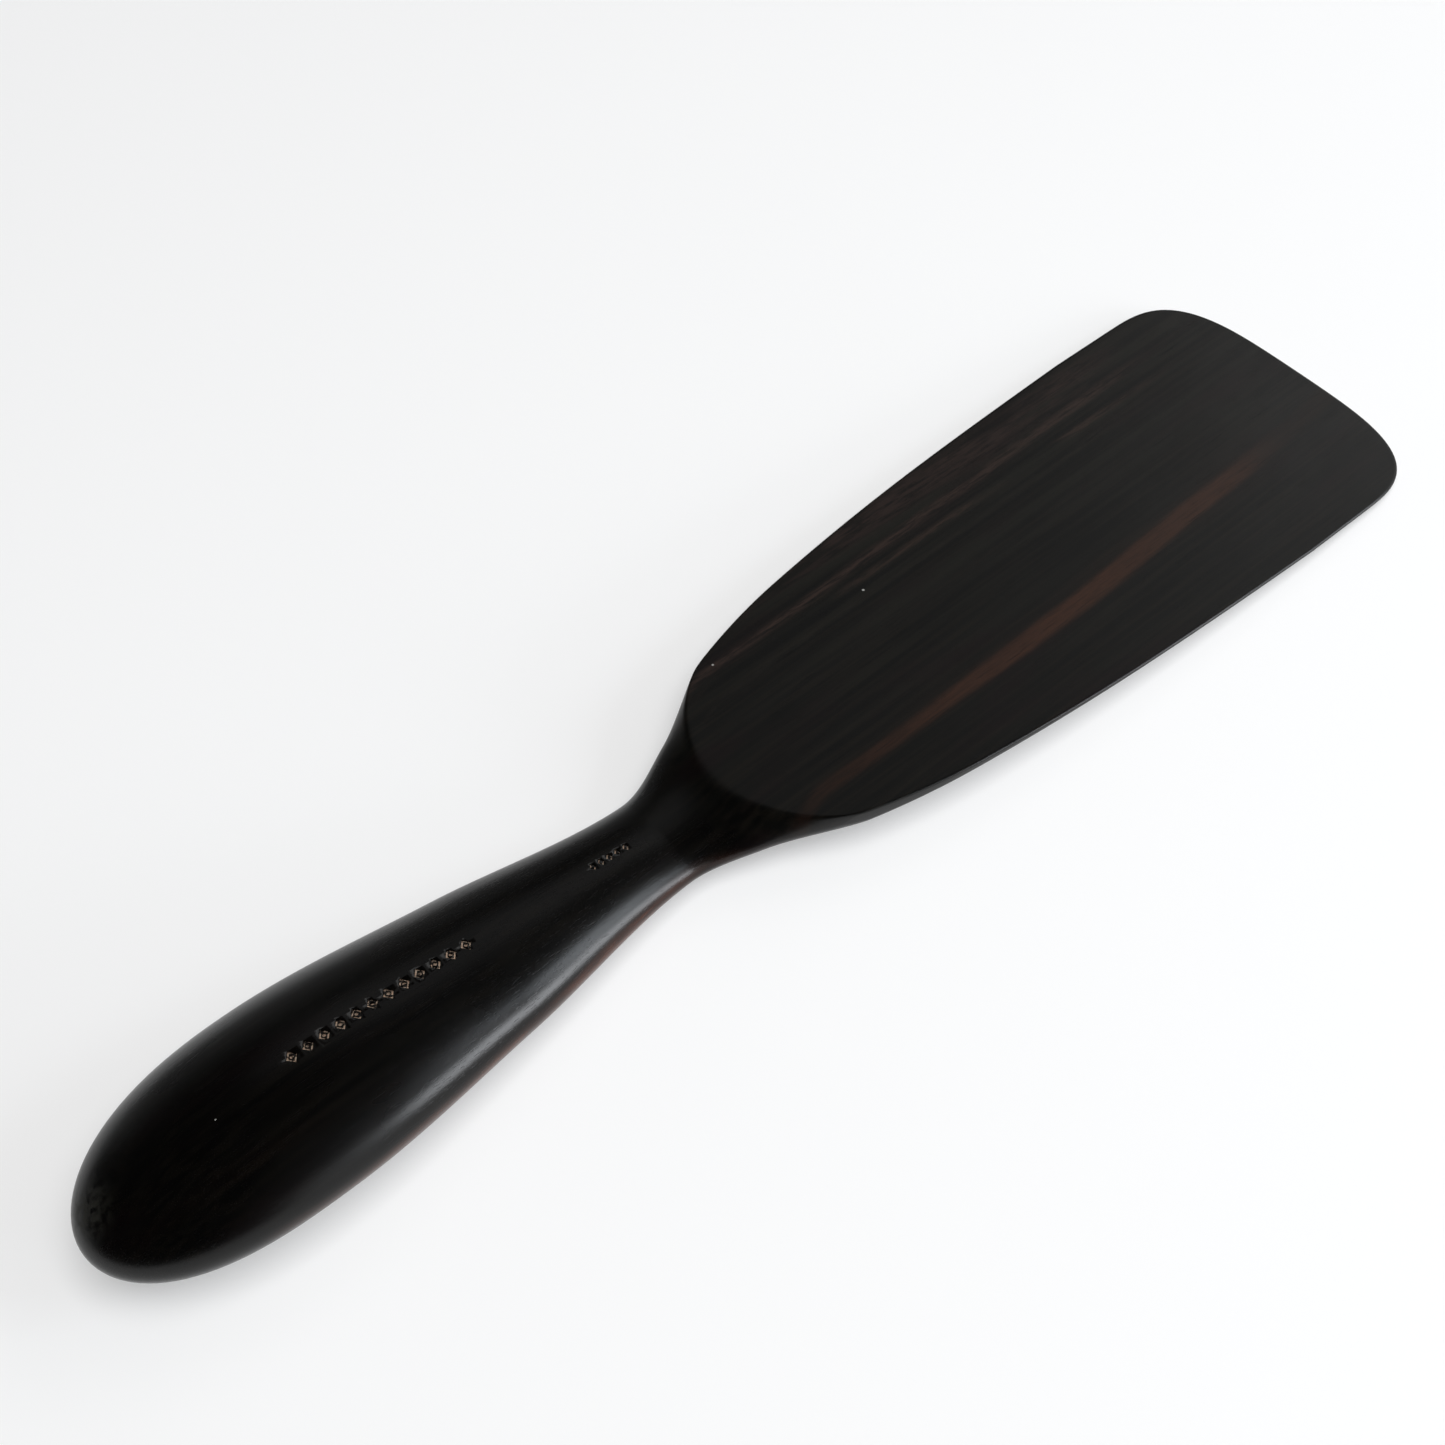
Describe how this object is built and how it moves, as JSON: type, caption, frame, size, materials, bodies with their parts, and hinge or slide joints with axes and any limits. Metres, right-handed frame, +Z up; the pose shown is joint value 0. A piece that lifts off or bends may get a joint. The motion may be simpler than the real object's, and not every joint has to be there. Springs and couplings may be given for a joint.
{
  "type": "wooden spatula",
  "caption": "One-piece carved ebony hand spatula with a flat, thin-edged, round-cornered blade, a waisted neck, a fat drop-shaped grip and small gilded border marks.",
  "frame": {"origin": "on the surface that it rests on, under the middle of its bounding box", "axes": "+X along the length from the butt of the grip to the tip of the blade, +Y across the blade, +Z up, out of the side with the blade's flat face"},
  "size_m": [0.2, 0.047, 0.0159],
  "materials": {
    "ebony": "waxed and polished to a satin sheen",
    "gilding": "worn gilding, mostly rubbed away"
  },
  "bodies": {
    "root": {"ebony_body": "ebony", "long_border_gilding": "gilding", "short_border_gilding": "gilding"}
  },
  "joints": []
}
